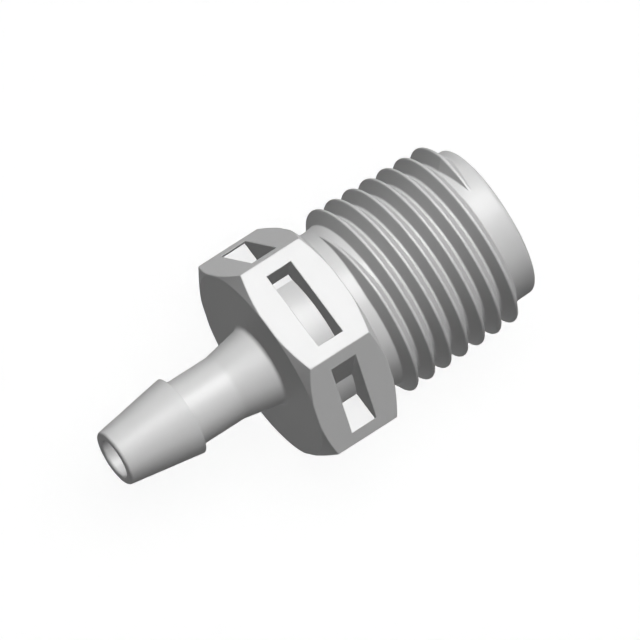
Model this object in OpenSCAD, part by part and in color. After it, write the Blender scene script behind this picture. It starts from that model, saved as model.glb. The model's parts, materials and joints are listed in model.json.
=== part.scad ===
// Hose barb fitting, moulded in one piece: a hose barb, a hexagon and a tapered male pipe thread.
// It lies on one flat of its hexagon, with its axis along X and the thread towards +X.
// The origin is under the middle of its length, on the surface that it lies on. Sizes are in mm.

/* [Barb] */
// Outer diameter of the barb at its tip
barb_tip_d = 4.12; // [3.6:0.02:4.6]
// Outer diameter of the barb at its crest
barb_crest_d = 5.9; // [5.3:0.05:6.6]
// Length of the barb's cone, from its tip to its crest
barb_length = 5.64; // [4:0.02:8]
// Radius that rounds the outer edge of the tip
tip_round = 0.22; // [0.1:0.02:0.4]

/* [Neck] */
// Diameter of the straight neck behind the barb
neck_d = 4.88; // [4.4:0.02:5.2]
// Length of the straight neck
neck_length = 3.63; // [2:0.01:8]
// Length of the cone that widens the neck towards the hexagon
flare_length = 2.98; // [1.5:0.02:5]
// Diameter of that cone where it meets the hexagon
flare_d = 6; // [5.4:0.05:7]
// Radius of the fillet between that cone and the hexagon
flare_fillet = 0.3; // [0.1:0.05:0.6]

/* [Hexagon] */
// Width across the flats
hex_across = 14.29; // [13.6:0.01:16]
// Length along the axis
hex_length = 6.15; // [5:0.05:9]
// Angle of the chamfer on both ends, from the end face
hex_chamfer = 30; // [15:1:35]

/* [Coring pockets] */
// Width of each pocket, across its flat
pocket_width = 6.1; // [4:0.1:6.6]
// Length of each pocket, along the axis
pocket_length = 2; // [1.2:0.05:2.8]
// Diameter of the round core that is left standing in the pockets
pocket_core_d = 10.6; // [9.4:0.1:11.4]
// Height of the floor of the top and bottom pockets above the axis
pocket_floor = 4.62; // [4.2:0.02:5.4]
// Thickness of the rib that is left at the mould's parting plane
parting_rib = 0.9; // [0.8:0.02:2.4]

/* [Shank] */
// Length of the plain nose beyond the thread
nose_length = 1.37; // [0.8:0.01:3]
// Diameter of the shank where it leaves the hexagon
shank_d = 12.14; // [11.2:0.02:12.6]
// Loss of diameter for each millimetre of length, on the shank and on its thread
shank_taper = 0.0625; // [0.02:0.0025:0.1]
// Radius that rounds the end of the nose
nose_round = 0.35; // [0.15:0.05:0.6]

/* [Pipe thread] */
// Distance from one turn of the thread to the next
thread_pitch = 1.411; // [1.3:0.001:1.6]
// Height of the thread above the shank
thread_height = 0.98; // [0.7:0.01:1.05]
// Angle between the two flanks
thread_angle = 60; // [50:1:62]
// Width of the flat along the crest
crest_flat = 0.1; // [0.06:0.01:0.14]
// Height of the slight crown on that flat
crest_crown = 0.03; // [0.01:0.005:0.05]
// Distance from the hexagon to the crest's start
thread_start = 1.42; // [1.3:0.01:2]
// Number of turns, with both ends
thread_turns = 7.1; // [5:0.01:7.2]
// Angle round the axis at which the thread starts, from the top flat towards -Y
start_angle = -45; // [-180:1:180]
// Angle over which the thread rises out of the shank at its start, by the hexagon
start_runout = 60; // [30:5:120]
// Angle over which it sinks back into the shank at its end, by the nose
end_runout = 28; // [20:1:90]

/* [Bore] */
// Diameter of the bore through the barb
barb_bore_d = 2.8; // [2:0.05:3]
// Width of the chamfer round the bore's opening in the tip
mouth_chamfer = 0.2; // [0.05:0.05:0.35]
// Diameter of the wider bore in the shank
shank_bore_d = 7.2; // [6:0.1:8]
// Depth of the wider bore, from the nose to where it starts to narrow
shank_bore_depth = 14.2; // [10:0.1:15]
// Angle of the cone that narrows it, from the axis
bore_cone = 45; // [30:5:60]

/* [Hidden] */
$fn = 96;
// How far one solid of the part reaches into the next
lap = 0.5;
// How far a cut reaches past the surface that it opens
clear = 1;
// Straight steps in each rounding or fillet of a turned outline
arc_steps = 8;

// Places along the axis
shank_length = thread_start + thread_turns * thread_pitch + nose_length;
tip_x = -(barb_length + neck_length + flare_length + hex_length + shank_length) / 2;
crest_x = tip_x + barb_length;
flare_x = crest_x + neck_length;
hex_x = flare_x + flare_length;
hex_end_x = hex_x + hex_length;
nose_x = hex_end_x + shank_length;
hex_middle_x = (hex_x + hex_end_x) / 2;
bore_step_x = nose_x - shank_bore_depth;

// Hexagon, seen along the axis
apothem = hex_across / 2;
corner_r = apothem / cos(30);
chamfer_x = (corner_r - apothem) * tan(hex_chamfer);
side_flat_y = apothem * sin(60);

// Thread
steps_per_turn = 40;
thread_steps = round(thread_turns * steps_per_turn);
flank_slope = tan(thread_angle / 2);
// How far the foot of the thread lies under the shank's surface
foot_sink = 0.04;
// How far the crest lies under that surface at the thread's two ends
end_sink = 0.1;
// Depth of the keel that anchors the thread in the shank
keel = 0.3;

// Radius of the shank's surface at x
function shank_r(x) = (shank_d - shank_taper * (x - hex_end_x)) / 2;

// Share of the thread's full height after a turn of so many degrees
function rise(turned) = max(0, min(1, turned / start_runout, (360 * thread_turns - turned) / end_runout));

// The section of the thread after step i, as six points [distance along the axis, radius]
function thread_section(i) =
    let (
        turned = 360 * thread_turns * i / thread_steps,
        x = hex_end_x + thread_start + thread_pitch * turned / 360,
        surface = shank_r(x),
        crest = surface - end_sink + rise(turned) * (thread_height + end_sink),
        foot = min(surface - foot_sink, crest - end_sink),
        foot_half = crest_flat / 2 + (crest - foot) * flank_slope
    )
    [
        [x, foot - keel],
        [x - foot_half, foot],
        [x - crest_flat / 2, crest - crest_crown],
        [x, crest],
        [x + crest_flat / 2, crest - crest_crown],
        [x + foot_half, foot]
    ];

// A point of a section, turned round the axis: 0 degrees is up, and the turn is right-handed about X
function around(point, angle) = [point[0], -point[1] * sin(angle), point[1] * cos(angle)];

// Points along an arc in an outline, from one angle to another. An angle of 0 degrees points out from the
// axis, and 90 degrees points along it towards +X
function arc(centre, r, from, to) = [
    for (i = [0:arc_steps])
        let (angle = from + (to - from) * i / arc_steps)
        centre + r * [cos(angle), sin(angle)]
];

// Outline of the barb and its neck, as [radius, place along the axis], with the rounding of the tip and
// the fillet at the hexagon each touching the cone beside it
module barb_outline() {
    tip_slope = (barb_crest_d - barb_tip_d) / 2 / barb_length;
    tip_angle = atan(tip_slope);
    tip_centre = [barb_tip_d / 2 + tip_slope * tip_round - tip_round / cos(tip_angle), tip_x + tip_round];
    flare_slope = (flare_d - neck_d) / 2 / flare_length;
    flare_angle = atan(flare_slope);
    fillet_centre = [
        flare_d / 2 - flare_slope * flare_fillet + flare_fillet / cos(flare_angle),
        hex_x - flare_fillet
    ];
    polygon(concat(
        [[0, tip_x]],
        arc(tip_centre, tip_round, -90, -tip_angle),
        [
            [barb_crest_d / 2, crest_x],
            [neck_d / 2, crest_x],
            [neck_d / 2, flare_x]
        ],
        arc(fillet_centre, flare_fillet, 180 - flare_angle, 90),
        [
            [fillet_centre[0], hex_x + lap],
            [0, hex_x + lap]
        ]
    ));
}

module barb_and_neck() {
    rotate([0, 90, 0]) rotate_extrude() barb_outline();
}

// The hexagon, with both ends chamfered by one turned outline
module hexagon() {
    intersection() {
        translate([hex_x, 0, 0]) rotate([0, 90, 0]) rotate([0, 0, 30])
            cylinder(h = hex_length, r = corner_r, $fn = 6);
        rotate([0, 90, 0]) rotate_extrude() polygon([
            [0, hex_x],
            [apothem, hex_x],
            [corner_r + clear, hex_x + chamfer_x + clear * tan(hex_chamfer)],
            [corner_r + clear, hex_end_x - chamfer_x - clear * tan(hex_chamfer)],
            [apothem, hex_end_x],
            [0, hex_end_x]
        ]);
    }
}

// One box of a pocket, from y1 to y2 and from z up
module pocket_box(y1, y2, z) {
    translate([hex_middle_x - pocket_length / 2, y1, z])
        cube([pocket_length, y2 - y1, apothem + clear - z]);
}

// All six pockets. The mould opens up and down, so their walls stand along Z
module pockets() {
    inner_y = side_flat_y - pocket_width / 2 * cos(60);
    outer_y = side_flat_y + pocket_width / 2 * cos(60);
    difference() {
        for (half = [0, 180]) rotate([half, 0, 0]) {
            pocket_box(-pocket_width / 2, pocket_width / 2, pocket_floor);
            pocket_box(inner_y, outer_y, parting_rib / 2);
            pocket_box(-outer_y, -inner_y, parting_rib / 2);
        }
        translate([hex_x, 0, 0]) rotate([0, 90, 0]) cylinder(h = hex_length, d = pocket_core_d);
    }
}

// The tapered shank under the thread, with its rounded nose
module shank() {
    taper_angle = atan(shank_taper / 2);
    nose_centre = [shank_r(nose_x - nose_round) - nose_round / cos(taper_angle), nose_x - nose_round];
    rotate([0, 90, 0]) rotate_extrude() polygon(concat(
        [
            [0, hex_end_x - lap],
            [shank_d / 2, hex_end_x - lap],
            [shank_d / 2, hex_end_x]
        ],
        arc(nose_centre, nose_round, taper_angle, 90),
        [[0, nose_x]]
    ));
}

// The thread's ridge: one section carried round and along the shank
module thread_ridge() {
    sides = len(thread_section(0));
    points = [
        for (i = [0:thread_steps])
            for (point = thread_section(i))
                around(point, start_angle + 360 * thread_turns * i / thread_steps)
    ];
    walls = [
        for (i = [0:thread_steps - 1])
            for (j = [0:sides - 1])
                [
                    i * sides + j,
                    i * sides + (j + 1) % sides,
                    (i + 1) * sides + (j + 1) % sides,
                    (i + 1) * sides + j
                ]
    ];
    first_end = [for (j = [sides - 1:-1:0]) j];
    last_end = [for (j = [0:sides - 1]) thread_steps * sides + j];
    polyhedron(points, concat(walls, [first_end, last_end]), convexity = 12);
}

// The bore: narrow through the barb, wider in the shank, with a cone between
module bore() {
    cone_length = (shank_bore_d - barb_bore_d) / 2 / tan(bore_cone);
    rotate([0, 90, 0]) rotate_extrude() polygon([
        [0, tip_x - clear],
        [barb_bore_d / 2 + mouth_chamfer + clear, tip_x - clear],
        [barb_bore_d / 2, tip_x + mouth_chamfer],
        [barb_bore_d / 2, bore_step_x - cone_length],
        [shank_bore_d / 2, bore_step_x],
        [shank_bore_d / 2, nose_x + clear],
        [0, nose_x + clear]
    ]);
}

module fitting_body() {
    color("gainsboro") translate([0, 0, apothem]) difference() {
        union() {
            barb_and_neck();
            difference() {
                hexagon();
                pockets();
            }
            shank();
            thread_ridge();
        }
        bore();
    }
}

fitting_body();
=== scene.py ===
# Hose barb fitting: one moulded piece with a barb, a hexagon and a pipe thread, on a pale floor.
# Lengths in the dictionaries are millimetres and angles are degrees. Blender's own units are metres.
import json
import math

import bpy
import numpy as np
from mathutils import Matrix, Vector

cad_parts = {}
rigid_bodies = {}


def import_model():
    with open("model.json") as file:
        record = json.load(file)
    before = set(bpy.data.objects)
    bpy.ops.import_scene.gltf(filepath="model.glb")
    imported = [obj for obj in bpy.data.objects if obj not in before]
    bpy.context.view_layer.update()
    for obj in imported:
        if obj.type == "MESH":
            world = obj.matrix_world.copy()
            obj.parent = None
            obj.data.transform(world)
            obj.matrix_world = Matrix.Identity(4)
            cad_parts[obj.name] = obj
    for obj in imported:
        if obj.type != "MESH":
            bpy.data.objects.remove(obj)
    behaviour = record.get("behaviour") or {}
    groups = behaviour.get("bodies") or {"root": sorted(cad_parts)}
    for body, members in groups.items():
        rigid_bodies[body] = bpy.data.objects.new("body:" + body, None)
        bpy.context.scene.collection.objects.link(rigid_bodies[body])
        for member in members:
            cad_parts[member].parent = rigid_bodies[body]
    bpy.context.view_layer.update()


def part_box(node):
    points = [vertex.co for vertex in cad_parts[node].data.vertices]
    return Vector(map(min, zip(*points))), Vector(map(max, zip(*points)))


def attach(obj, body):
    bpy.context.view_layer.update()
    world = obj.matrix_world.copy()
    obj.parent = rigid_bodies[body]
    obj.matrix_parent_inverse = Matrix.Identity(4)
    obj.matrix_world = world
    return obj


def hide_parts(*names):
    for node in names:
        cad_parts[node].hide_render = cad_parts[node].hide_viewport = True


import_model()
mm = 0.001
bodyLow, bodyHigh = [np.array(corner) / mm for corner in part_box("fitting_body")]

barb = {
    "tipRadius": 2.06,
    "crestRadius": 2.95,
    "length": 5.64,
    "tipRound": 0.22,
    "crestRound": 0.05,
    "backFillet": 0.1,
}
neck = {
    "radius": 2.44,
    "length": 3.63,
    "flareRadius": 3.0,
    "flareLength": 2.98,
    "flareRound": 1.2,  # softens the change from neck to flare
    "faceFillet": 0.3,
}
hexagon = {
    "apothem": 7.145,
    "length": 6.15,
    "chamfer": 30.0,  # from the end face
    "cornerRound": 0.12,  # along the six long edges
    "edgeRound": 0.09,  # round both ends
}
pocket = {
    "halfWidth": 3.05,
    "halfLength": 1.0,
    "coreRadius": 5.3,
    "topFloor": 4.62,  # above the axis
    "sideFloor": 0.45,
    "coreSpread": 0.17,  # how much wider the core is where it meets the side floors
    "edgeBevel": 0.05,
    "bevelSteps": 3,
    "topSteps": 25,  # points along the core in a top or bottom pocket
    "sideSteps": 11,  # and in one of the other four
}
shank = {
    "rootRadius": 6.04,
    "taper": 0.03125,  # loss of radius for each millimetre
    "rootFillet": 0.12,
    "noseRound": 0.35,
    "plainStart": 0.3,  # the thread's rows lie between these two, from the hexagon
    "plainEnd": 12.35,
}
thread = {
    "pitch": 1.411,
    "height": 1.01,
    "halfAngle": 30.0,
    "crestHalf": 0.08,
    "crestRound": 0.1,
    "rootRound": 0.12,
    "rootLift": 0.085,  # of the roots above the plain cone of the shank
    "start": 1.42,  # from the hexagon
    "startAngle": -45.0,  # from the top flat towards -Y
    "turns": 7.1,
    "startRunout": 60.0,  # the thread rises out of the shank over this angle
    "endRunout": 28.0,
    "fullRound": 0.3,  # height from which the crest and the roots have their full rounding
    "windings": (-2, 9),  # turns of rows, enough to reach past both ends
}
bore = {
    "barbRadius": 1.4,
    "shankRadius": 3.6,
    "shankDepth": 14.2,
    "cone": 45.0,
    "mouthRound": 0.08,  # at the nose, and at both ends of the cone
    "tipRound": 0.2,  # at the barb's tip
}
# How the skin is divided into rows and columns
skin = {
    "columnStep": 2,  # degrees between columns on a flat
    "besideCorner": 29.2,  # the last column before a corner's arc
    "support": 0.06,  # from a rounding to the next row, which keeps the straight part flat
    "flatSupport": 0.08,  # the same on the hexagon's flats
    "collarSupport": 0.04,  # and on the short collar
    "frontMargin": 0.6,  # from the neck to the grid of the hexagon's front face
    "backMargin": 0.3,  # and from the shank to that of its back face
    "meeting": 1.0,  # depth in the barb's bore at which the last row meets the first
    "sharpAngle": 26.0,  # an edge that turns by more stays sharp
    "mergeSize": 0.0002,  # points closer than this become one
}

tipX = bodyLow[0]
crestX = tipX + barb["length"]
flareX = crestX + neck["length"]
hexX = flareX + neck["flareLength"]
hexEndX = hexX + hexagon["length"]
noseX = bodyHigh[0]
axisZ = hexagon["apothem"]


# A broken line with its corners turned into arcs. Each arc touches both sides at
# radius * tan(half the turn) from the corner. A point is added just beyond each arc,
# so that shading stays flat on the straight parts.
def roundedLine(corners, radii, stepDegrees=15.0, support=skin["support"]):
    corners = np.array(corners, float)
    line = [corners[0]]
    for before, corner, after, radius in zip(corners, corners[1:], corners[2:], radii):
        inward = (before - corner) / np.linalg.norm(before - corner)
        onward = (after - corner) / np.linalg.norm(after - corner)
        turn = math.pi - math.acos(np.clip(inward @ onward, -1, 1))
        reach = radius * math.tan(turn / 2)
        bisector = (inward + onward) / np.linalg.norm(inward + onward)
        centre = corner + bisector * radius / math.cos(turn / 2)
        first, last = corner + inward * reach - centre, corner + onward * reach - centre
        count = max(2, math.ceil(math.degrees(turn) / stepDegrees))
        share = np.linspace(0, 1, count + 1)[:, None]
        arc = (np.sin((1 - share) * turn) * first + np.sin(share * turn) * last) / math.sin(turn)
        if np.linalg.norm(line[-1] - corner) > reach + 2 * support:
            line.append(corner + inward * (reach + support))
        line.extend(centre + arc)
        if np.linalg.norm(after - corner) > reach + 2 * support:
            line.append(corner + onward * (reach + support))
    line.append(corners[-1])
    return np.array(line)


def shankRadiusAt(x):
    return shank["rootRadius"] - shank["taper"] * (x - hexEndX)


# The columns are angles round the axis, from the top flat towards -Y. One set serves the
# hexagon and everything turned. A flat's radius is apothem / cos(angle from its middle), and
# a corner is an arc of cornerRound that touches both flats.
def makeColumns():
    apothem, cornerRound = hexagon["apothem"], hexagon["cornerRound"]
    onArc = np.radians([0.0, 15.0, 30.0])
    outward = apothem - cornerRound + cornerRound * np.cos(onArc)
    sideways = (apothem - cornerRound) * math.tan(math.radians(30)) + cornerRound * np.sin(onArc)
    arcAngle = np.degrees(np.arctan2(sideways, outward))
    windowAngle = math.degrees(math.atan(pocket["halfWidth"] / apothem))
    step, besideCorner = skin["columnStep"], skin["besideCorner"]
    half = np.concatenate([np.arange(step, 29, step), [windowAngle, besideCorner], arcAngle[:2]])
    sector = np.sort(np.concatenate([[-arcAngle[2], 0.0], half, -half]))
    flatRadius = apothem / np.cos(np.radians(sector))
    arcRadius = np.hypot(outward, sideways)
    for angle, radius in zip(arcAngle, arcRadius):
        flatRadius[np.isclose(np.abs(sector), angle)] = radius
    angles = np.concatenate([sector + 60 * flat for flat in range(6)])
    return angles, np.tile(flatRadius, 6), sector, windowAngle


columns, hexRadius, sector, windowAngle = makeColumns()
columnCount = len(columns)


# A turned stretch: each point (x, radius) of the line is one ring.
def turnedRows(line):
    line = np.asarray(line)
    ones = np.ones(columnCount)
    return line[:, :1] * ones, line[:, 1:] * ones


# One end of the hexagon, from the end face over the chamfer to the flats. Depth counts from
# the end face. The face, the chamfer and the flat are moved inwards by edgeRound, and arcs of
# edgeRound stand on the two points where the moved lines meet. At the middle of a flat the
# chamfer has no length, and the two arcs join into one.
def hexEndRows(innerRadius):
    edgeRound, apothem, support = hexagon["edgeRound"], hexagon["apothem"], skin["support"]
    lean = math.radians(hexagon["chamfer"])
    faceCentre = np.minimum(
        apothem - edgeRound * (1 - math.cos(lean)) / math.sin(lean), hexRadius - edgeRound
    )
    flatDepth = (
        math.sin(lean) * (hexRadius - edgeRound - apothem) + edgeRound
    ) / math.cos(lean)
    flatDepth = np.maximum(flatDepth, edgeRound)
    first = np.stack([np.full(columnCount, edgeRound), faceCentre])
    second = np.stack([flatDepth, hexRadius - edgeRound])
    gap = second - first
    length = np.hypot(*gap)
    nudge = np.minimum(support, length / 3) / np.maximum(length, 1e-9)
    outward = np.array([-math.cos(lean), math.sin(lean)])[:, None] * edgeRound
    rows = []
    faceOuter = faceCentre - support
    for share in (0.0, 0.33, 0.66, 1.0):
        rows.append(np.stack([np.zeros(columnCount), innerRadius + (faceOuter - innerRadius) * share]))
    for turn in np.linspace(0, lean, 3):
        rows.append(first + edgeRound * np.array([-math.cos(turn), math.sin(turn)])[:, None])
    rows.append(first + outward + gap * nudge)
    rows.append(first + outward + gap * (1 - nudge))
    for turn in np.linspace(lean, math.pi / 2, 5):
        rows.append(second + edgeRound * np.array([-math.cos(turn), math.sin(turn)])[:, None])
    rows.append(np.stack([flatDepth + skin["flatSupport"], hexRadius]))
    rows = np.array(rows)
    return rows[:, 0], rows[:, 1]


# The thread's rows follow the helix, so that crest and root edges run along the mesh.
# Row (k, m) lies at crest(T) + offset(m), where T = column angle + 360 k and the crest
# advances one pitch for each 360 degrees. The ridge's height is height * rise(T), with rise
# going from 0 to 1 over the runout at each end. Past both ends the rows are pressed
# together on the plain cone, where equal points merge later.
def threadRows():
    pitch, crestHalf = thread["pitch"], thread["crestHalf"]
    slope = math.tan(math.radians(thread["halfAngle"]))
    flankTurn = math.pi / 2 - math.radians(thread["halfAngle"])
    windings = np.arange(*thread["windings"])
    turned = columns[None, :] + 360 * windings[:, None] - thread["startAngle"]
    crestAt = hexEndX + thread["start"] + pitch * turned / 360
    left = 360 * thread["turns"] - turned
    rise = np.clip(np.minimum(turned / thread["startRunout"], left / thread["endRunout"]), 0, 1)
    height = thread["height"] * rise
    shrink = np.clip(height / thread["fullRound"], 0, 1)
    crestRound, rootRound = thread["crestRound"] * shrink, thread["rootRound"] * shrink
    crestReach, rootReach = crestRound * math.tan(flankTurn / 2), rootRound * math.tan(flankTurn / 2)
    floor = thread["rootLift"] * rise
    foot = crestHalf + (height - floor) * slope
    half = []  # (offset, height) of each row, from the crest's middle to the root
    for turn in np.linspace(0, flankTurn, 4):
        half.append((crestHalf - crestReach + crestRound * math.sin(turn),
                     height - crestRound * (1 - math.cos(turn))))
    for turn in np.linspace(flankTurn, 0, 4):
        half.append((foot + rootReach - rootRound * math.sin(turn),
                     floor + rootRound * (1 - math.cos(turn))))
    # two more rows keep the straight part of the flank flat
    upper, lower = half[3], half[4]
    for place, share in ((4, 0.12), (5, 0.88)):
        half.insert(place, tuple(u + (v - u) * share for u, v in zip(upper, lower)))
    sides = [(-offset, level) for offset, level in reversed(half)]
    whole = [(-pitch / 2 + 0 * height, floor)] + sides + [(0 * height, height)] + half
    offsets = np.stack([offset for offset, _ in whole], axis=1)
    heights = np.stack([level for _, level in whole], axis=1)
    first, last = hexEndX + shank["plainStart"], hexEndX + shank["plainEnd"]
    x = np.clip(crestAt[:, None, :] + offsets, first, last)
    radius = shankRadiusAt(x) + heights
    return x.reshape(-1, columnCount), radius.reshape(-1, columnCount), len(whole)


# All rows from the barb's bore over the outside and back through the shank's bore. The outermost
# corner of the front line and of the collar's only gives a direction, and it is dropped.
def makeRows():
    boreStepX = noseX - bore["shankDepth"]
    boreWidening = bore["shankRadius"] - bore["barbRadius"]
    boreConeX = boreStepX - boreWidening / math.tan(math.radians(bore["cone"]))
    meetingX = tipX + skin["meeting"]
    mouth = bore["mouthRound"]
    front = roundedLine(
        [
            (meetingX, bore["barbRadius"]),
            (tipX, bore["barbRadius"]),
            (tipX, barb["tipRadius"]),
            (crestX, barb["crestRadius"]),
            (crestX, neck["radius"]),
            (flareX, neck["radius"]),
            (hexX, neck["flareRadius"]),
            (hexX, hexagon["apothem"]),
        ],
        [
            bore["tipRound"],
            barb["tipRound"],
            barb["crestRound"],
            barb["backFillet"],
            neck["flareRound"],
            neck["faceFillet"],
        ],
    )
    parts, marks = [], {}

    def add(name, rows):
        marks[name] = sum(len(part[0]) for part in parts)
        parts.append(rows)

    add("front", turnedRows(front[:-1]))
    depth, radius = hexEndRows(neck["flareRadius"] + skin["frontMargin"])
    add("hexFront", (hexX + depth, radius))
    middle = (hexX + hexEndX) / 2
    ones = np.ones(columnCount)
    add("window", (
        np.array([[middle - pocket["halfLength"]], [middle + pocket["halfLength"]]]) * ones,
        np.stack([hexRadius, hexRadius]),
    ))
    depth, radius = hexEndRows(shank["rootRadius"] + skin["backMargin"])
    add("hexBack", (hexEndX - depth[::-1], radius[::-1]))
    collar = roundedLine(
        [
            (hexEndX, hexagon["apothem"]),
            (hexEndX, shank["rootRadius"]),
            (hexEndX + shank["plainStart"], shankRadiusAt(hexEndX + shank["plainStart"])),
        ],
        [shank["rootFillet"]],
        support=skin["collarSupport"],
    )
    add("collar", turnedRows(collar[1:]))
    x, radius, rowsPerTurn = threadRows()
    add("thread", (x, radius))
    noseRadius = shankRadiusAt(noseX)
    back = roundedLine(
        [
            (hexEndX + shank["plainEnd"], shankRadiusAt(hexEndX + shank["plainEnd"])),
            (noseX, noseRadius),
            (noseX, bore["shankRadius"]),
            (boreStepX, bore["shankRadius"]),
            (boreConeX, bore["barbRadius"]),
            (meetingX, bore["barbRadius"]),
        ],
        [shank["noseRound"], mouth, mouth, mouth],
    )
    add("nose", turnedRows(back[:-1]))
    x = np.concatenate([part[0] for part in parts])
    radius = np.concatenate([part[1] for part in parts])
    return x, radius, marks, rowsPerTurn


# A pocket's section across the axis, as (y, z) from one side of its window to the other. The
# walls stand along Z and the round core is left standing. The arc's points are
# coreRadius * (sin, cos) of the angle from the top. In a side pocket they move outwards by
# a share of coreSpread that grows from 0 at the wall to 1 at the floor.
def pocketSection(flat):
    core, halfWidth = pocket["coreRadius"], pocket["halfWidth"]
    if flat % 3 == 0:
        floor = pocket["topFloor"]
        swing = math.acos(floor / core)
        arc = np.linspace(-swing, swing, pocket["topSteps"])
        section = np.concatenate([
            [(-halfWidth, floor)],
            np.stack([core * np.sin(arc), core * np.cos(arc)], axis=1),
            [(halfWidth, floor)],
        ])
    else:
        floor = pocket["sideFloor"]
        sideY = hexagon["apothem"] * math.sin(math.radians(60))
        innerY, outerY = sideY - halfWidth / 2, sideY + halfWidth / 2
        steps = pocket["sideSteps"]
        arc = np.linspace(math.asin(innerY / core), math.acos(floor / core), steps)
        spread = np.linspace(0, pocket["coreSpread"], steps)
        section = np.concatenate([
            np.stack([core * np.sin(arc) + spread, core * np.cos(arc)], axis=1),
            [(outerY, floor)],
        ])
    # the six flats stand at 0, 60, ... 300 degrees from the top towards -Y
    if flat in (0, 1):
        section = section * (-1, 1)
    elif flat in (2, 3):
        section = section * (-1, -1)
    elif flat == 4:
        section = section * (1, -1)
    turn = np.arctan2(-section[:, 0], section[:, 1])
    ahead = (turn - math.radians(60 * flat) + math.pi) % (2 * math.pi) - math.pi
    return section if ahead[0] < ahead[-1] else section[::-1]


# The rows and columns become quads, and each pocket is let into its window.
def buildBody():
    x, radius, marks, rowsPerTurn = makeRows()
    turn = np.radians(columns)
    points = np.stack([x, -radius * np.sin(turn), axisZ + radius * np.cos(turn)], axis=-1)
    rowCount = len(x)
    index = np.arange(rowCount * columnCount).reshape(rowCount, columnCount)
    right = np.concatenate([index[:, 1:], index[:, :1]], axis=1)
    # one turn on, a helical row meets the row that is a full turn's rows further
    threadStart, threadEnd = marks["thread"], marks["nose"]
    ahead = np.minimum(np.arange(threadStart, threadEnd) + rowsPerTurn, threadEnd)
    right[threadStart:threadEnd, -1] = index[ahead, 0]
    below, belowRight = np.roll(index, -1, axis=0), np.roll(right, -1, axis=0)
    quads = np.stack([index, right, belowRight, below], axis=-1)
    keep = np.ones((rowCount, columnCount), bool)
    windowRow = marks["window"]
    low = int(np.argmin(np.abs(sector + windowAngle)))
    high = int(np.argmin(np.abs(sector - windowAngle)))
    faces, extra, pocketRims = [], [], []
    nextPoint = rowCount * columnCount
    middle = (hexX + hexEndX) / 2
    for flat in range(6):
        first, last = flat * len(sector) + low, flat * len(sector) + high
        keep[windowRow, first:last] = False
        section = pocketSection(flat)
        count = len(section)
        chains = []
        for side, row in ((-1, windowRow), (1, windowRow + 1)):
            extra.append(np.stack([
                np.full(count, middle + side * pocket["halfLength"]),
                section[:, 0],
                axisZ + section[:, 1],
            ], axis=1))
            inner = list(range(nextPoint, nextPoint + count))
            nextPoint += count
            chains.append([int(index[row, first])] + inner + [int(index[row, last])])
        near, far = chains
        faces.extend((a, b, c, d) for a, b, c, d in zip(near, near[1:], far[1:], far))
        nearRim = [int(i) for i in index[windowRow, first:last + 1]]
        farRim = [int(i) for i in index[windowRow + 1, first:last + 1]]
        faces.append(tuple(nearRim + near[-2:0:-1]))
        faces.append(tuple(farRim[::-1] + far[1:-1]))
        pocketRims.append((nearRim, farRim))
    allPoints = np.concatenate([points.reshape(-1, 3)] + extra) * mm
    gridFaces = quads[keep]
    return allPoints, gridFaces, faces, pocketRims


# Equal points become one, and a face that keeps fewer than three of its points goes.
def mergePoints(points, gridFaces, otherFaces):
    keys = np.round(points / (skin["mergeSize"] * mm)).astype(np.int64)
    _, firstUse, group = np.unique(keys, axis=0, return_index=True, return_inverse=True)
    group = group.ravel()
    faces = []
    for face in [*group[gridFaces].tolist(), *[group[list(f)].tolist() for f in otherFaces]]:
        kept = [p for p, q in zip(face, face[1:] + face[:1]) if p != q]
        if len(set(kept)) >= 3:
            faces.append(kept)
    return points[firstUse], faces, group


def makeBody():
    points, gridFaces, otherFaces, rims = buildBody()
    points, faces, group = mergePoints(points, gridFaces, otherFaces)
    mesh = bpy.data.meshes.new("fittingBody")
    mesh.from_pydata(points.tolist(), [], faces)
    mesh.validate()
    mesh.shade_smooth()
    body = bpy.data.objects.new("fittingBody", mesh)
    bpy.context.scene.collection.objects.link(body)
    # the windows' rims carry the bevel; an edge's key is one number made of its two ends
    loops = [group[nearRim + farRim[::-1]] for nearRim, farRim in rims]
    rimEnds = np.concatenate([np.stack([loop, np.roll(loop, -1)], axis=1) for loop in loops])
    ends = np.zeros(len(mesh.edges) * 2, int)
    mesh.edges.foreach_get("vertices", ends)
    base = (len(points), 1)
    rimKeys = np.sort(rimEnds, axis=1) @ base
    keys = np.sort(ends.reshape(-1, 2), axis=1) @ base
    weights = np.isin(keys, rimKeys).astype(np.float32)
    mesh.attributes.new("bevel_weight_edge", "FLOAT", "EDGE").data.foreach_set("value", weights)
    mesh.set_sharp_from_angle(angle=math.radians(skin["sharpAngle"]))
    bevel = body.modifiers.new("rims", "BEVEL")
    bevel.limit_method = "WEIGHT"
    bevel.width = pocket["edgeBevel"] * mm
    bevel.segments = pocket["bevelSteps"]
    return body


body = makeBody()
print("body:", len(body.data.vertices), "points,", len(body.data.polygons), "faces")


plastic = {
    "colours": ((0.71, 0.71, 0.71, 1.0), (0.73, 0.73, 0.73, 1.0)),  # it wanders between these
    "mottleSize": 2.6,
    "roughness": (0.42, 0.48),
    "specular": 0.25,  # half the usual sheen
    "patchSize": 0.7,  # of the smoother and rougher patches
    "grainSize": 0.14,  # of the mould's fine spark-eroded grain
    "grainHeight": 0.0006,
    "waveSize": 1.6,  # of the slight sinking of the skin
    "waveHeight": 0.002,
}


def newNode(tree, kind, **settings):
    node = tree.nodes.new(kind)
    for name, value in settings.items():
        setattr(node, name, value)
    return node


# Noise on Object coordinates, with its size in millimetres
def makeNoise(tree, place, size, detail=2.0):
    noise = newNode(tree, "ShaderNodeTexNoise")
    noise.inputs["Scale"].default_value = 1 / (size * mm)
    noise.inputs["Detail"].default_value = detail
    tree.links.new(place, noise.inputs["Vector"])
    return noise.outputs["Fac"]


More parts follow.
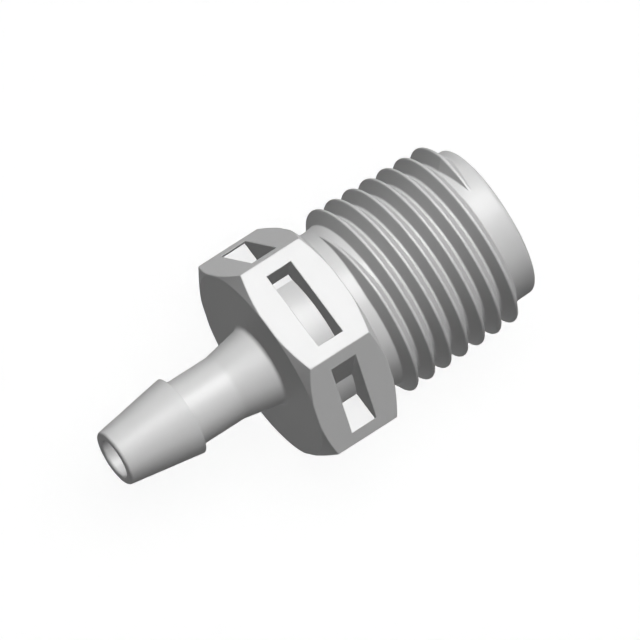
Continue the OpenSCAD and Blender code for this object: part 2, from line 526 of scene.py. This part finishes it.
def makePlastic():
    material = bpy.data.materials.new("mouldedPlastic")
    material.use_nodes = True
    tree = material.node_tree
    shader = tree.nodes["Principled BSDF"]
    place = newNode(tree, "ShaderNodeTexCoord").outputs["Object"]
    colour = newNode(tree, "ShaderNodeMix", data_type="RGBA")
    colour.inputs["A"].default_value, colour.inputs["B"].default_value = plastic["colours"]
    tree.links.new(makeNoise(tree, place, plastic["mottleSize"]), colour.inputs["Factor"])
    tree.links.new(colour.outputs["Result"], shader.inputs["Base Color"])
    patches = newNode(tree, "ShaderNodeMapRange")
    smoothest, roughest = plastic["roughness"]
    patches.inputs["To Min"].default_value = smoothest
    patches.inputs["To Max"].default_value = roughest
    tree.links.new(makeNoise(tree, place, plastic["patchSize"]), patches.inputs["Value"])
    tree.links.new(patches.outputs["Result"], shader.inputs["Roughness"])
    shader.inputs["Specular IOR Level"].default_value = plastic["specular"]
    waves = newNode(tree, "ShaderNodeBump")
    waves.inputs["Distance"].default_value = plastic["waveHeight"] * mm
    tree.links.new(makeNoise(tree, place, plastic["waveSize"], 1.0), waves.inputs["Height"])
    grain = newNode(tree, "ShaderNodeBump")
    grain.inputs["Distance"].default_value = plastic["grainHeight"] * mm
    tree.links.new(makeNoise(tree, place, plastic["grainSize"]), grain.inputs["Height"])
    tree.links.new(waves.outputs["Normal"], grain.inputs["Normal"])
    tree.links.new(grain.outputs["Normal"], shader.inputs["Normal"])
    return material


body.data.materials.append(makePlastic())
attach(body, "root")
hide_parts("fitting_body")

# The view is parallel. The thread's end points away to the upper right of the picture.
view = {
    "lean": 15.6,  # how far the view is rolled round the fitting's axis, towards -Y
    "axisDepth": 0.258,  # share of the axis that runs towards the viewer, at the barb's end
    "axisSlope": 32.55,  # of the axis in the picture
    "pixelsPerMm": 14.75,
    "pictureWidth": 640,
    "shiftRight": 18.85,  # pixels from the middle of the axis to the picture's middle
    "shiftUp": 19.54,
    "distance": 200.0,
    "clip": (0.001, 2.0),  # metres
}


def makeCamera():
    lean, slope = math.radians(view["lean"]), math.radians(view["axisSlope"])
    depth = view["axisDepth"]
    across = math.sqrt(1 - depth * depth)
    facing = Vector((0, -math.sin(lean), math.cos(lean)))
    sideways = Vector((0, -math.cos(lean), -math.sin(lean)))
    axis = Vector((1, 0, 0))
    towards = facing * across - axis * depth
    along = axis * across + facing * depth
    rightward = along * math.cos(slope) + sideways * math.sin(slope)
    upward = along * math.sin(slope) - sideways * math.cos(slope)
    pixel = mm / view["pixelsPerMm"]
    shift = rightward * view["shiftRight"] + upward * view["shiftUp"]
    centre = Vector((0, 0, axisZ * mm)) + shift * pixel
    camera = bpy.data.cameras.new("camera")
    camera.type = "ORTHO"
    camera.ortho_scale = view["pictureWidth"] * pixel
    camera.clip_start, camera.clip_end = view["clip"]
    holder = bpy.data.objects.new("camera", camera)
    bpy.context.scene.collection.objects.link(holder)
    turn = Matrix((rightward, upward, towards)).transposed().to_4x4()
    holder.matrix_world = Matrix.Translation(centre + towards * view["distance"] * mm) @ turn
    bpy.context.scene.camera = holder


makeCamera()

light = {
    "world": 0.01,  # as it lights the fitting
    "floorBounce": 0.3,  # the pale floor, as the fitting sees it
    "floorSeen": 0.9,  # and as the camera sees it, with the glow that makes it white
    "floorGlow": 0.215,
    "floorHalf": 2.0,  # metres
}
# Each lamp lights either the matt or the glossy part of a surface. Light doesn't bounce on from
# where it falls, and only the soft lamp casts a shadow.
lamps = {
    "keyBack": {"from": (0.219, 0.300, 0.928), "strength": 1.57, "width": 31.0, "lights": "matt"},
    "keyFront": {"from": (0.135, -0.339, 0.931), "strength": 1.05, "width": 60.0, "lights": "matt"},
    "soft": {"from": (0.18, -0.05, 0.95), "strength": 0.30, "width": 60.0, "lights": "matt", "shadow": True},
    "underNose": {"from": (0.679, 0.459, -0.572), "strength": 1.14, "width": 8.0, "lights": "matt"},
    "underBarb": {"from": (-0.406, 0.113, -0.907), "strength": 0.90, "width": 29.0, "lights": "matt"},
    "glossBack": {"from": (0.205, 0.262, 0.943), "strength": 5.90, "width": 14.0, "lights": "gloss"},
    "glossFront": {"from": (0.233, -0.111, 0.966), "strength": 3.45, "width": 19.0, "lights": "gloss"},
    "glossEdge": {"from": (0.183, 0.911, 0.369), "strength": 1.10, "width": 45.0, "lights": "gloss"},
}


# These rays see the floor and the world as the camera does. The others see them as they light
# the fitting.
seenBy = ("Is Camera Ray", "Is Glossy Ray", "Is Transmission Ray")


# 1 for a ray of one of these kinds, and 0 for any other
def rayKinds(tree, *kinds):
    rays = newNode(tree, "ShaderNodeLightPath")
    total = rays.outputs[kinds[0]]
    for kind in kinds[1:]:
        either = newNode(tree, "ShaderNodeMath", operation="MAXIMUM")
        tree.links.new(total, either.inputs[0])
        tree.links.new(rays.outputs[kind], either.inputs[1])
        total = either.outputs[0]
    return total


def makeWorld():
    world = bpy.data.worlds.new("world")
    bpy.context.scene.world = world
    world.use_nodes = True
    tree = world.node_tree
    lit = tree.nodes["Background"]
    lit.inputs["Strength"].default_value = light["world"]
    seen = newNode(tree, "ShaderNodeBackground")
    seen.inputs["Color"].default_value = (1, 1, 1, 1)
    lit.inputs["Color"].default_value = (1, 1, 1, 1)
    mix = newNode(tree, "ShaderNodeMixShader")
    tree.links.new(rayKinds(tree, *seenBy), mix.inputs[0])
    tree.links.new(lit.outputs[0], mix.inputs[1])
    tree.links.new(seen.outputs[0], mix.inputs[2])
    tree.links.new(mix.outputs[0], tree.nodes["World Output"].inputs[0])


def makeLamps():
    for name, lamp in lamps.items():
        sun = bpy.data.lights.new(name, "SUN")
        sun.energy = lamp["strength"]
        sun.angle = math.radians(lamp["width"])
        sun.use_shadow = lamp.get("shadow", False)
        sun.cycles.max_bounces = 0
        sun.cycles.use_multiple_importance_sampling = False
        holder = bpy.data.objects.new(name, sun)
        holder.rotation_euler = Vector(lamp["from"]).to_track_quat("Z", "Y").to_euler()
        holder.visible_diffuse = lamp["lights"] == "matt"
        holder.visible_glossy = lamp["lights"] == "gloss"
        bpy.context.scene.collection.objects.link(holder)


def makeFloor():
    half = light["floorHalf"]
    mesh = bpy.data.meshes.new("floor")
    corners = [(-half, -half, 0), (half, -half, 0), (half, half, 0), (-half, half, 0)]
    mesh.from_pydata(corners, [], [(0, 1, 2, 3)])
    floor = bpy.data.objects.new("floor", mesh)
    bpy.context.scene.collection.objects.link(floor)
    material = bpy.data.materials.new("paleFloor")
    material.use_nodes = True
    tree = material.node_tree
    tree.nodes.clear()
    output = newNode(tree, "ShaderNodeOutputMaterial")
    bounce = newNode(tree, "ShaderNodeBsdfDiffuse")
    bounce.inputs["Color"].default_value = (*[light["floorBounce"]] * 3, 1)
    matt = newNode(tree, "ShaderNodeBsdfDiffuse")
    matt.inputs["Color"].default_value = (*[light["floorSeen"]] * 3, 1)
    glow = newNode(tree, "ShaderNodeEmission")
    glow.inputs["Strength"].default_value = light["floorGlow"]
    seen = newNode(tree, "ShaderNodeAddShader")
    mix = newNode(tree, "ShaderNodeMixShader")
    tree.links.new(matt.outputs[0], seen.inputs[0])
    tree.links.new(glow.outputs[0], seen.inputs[1])
    tree.links.new(rayKinds(tree, *seenBy), mix.inputs[0])
    tree.links.new(bounce.outputs[0], mix.inputs[1])
    tree.links.new(seen.outputs[0], mix.inputs[2])
    tree.links.new(mix.outputs[0], output.inputs[0])
    mesh.materials.append(material)


makeWorld()
makeLamps()
makeFloor()
print("light and floor ready")

bpy.context.scene.view_settings.view_transform = "Standard"
print("scene ready")
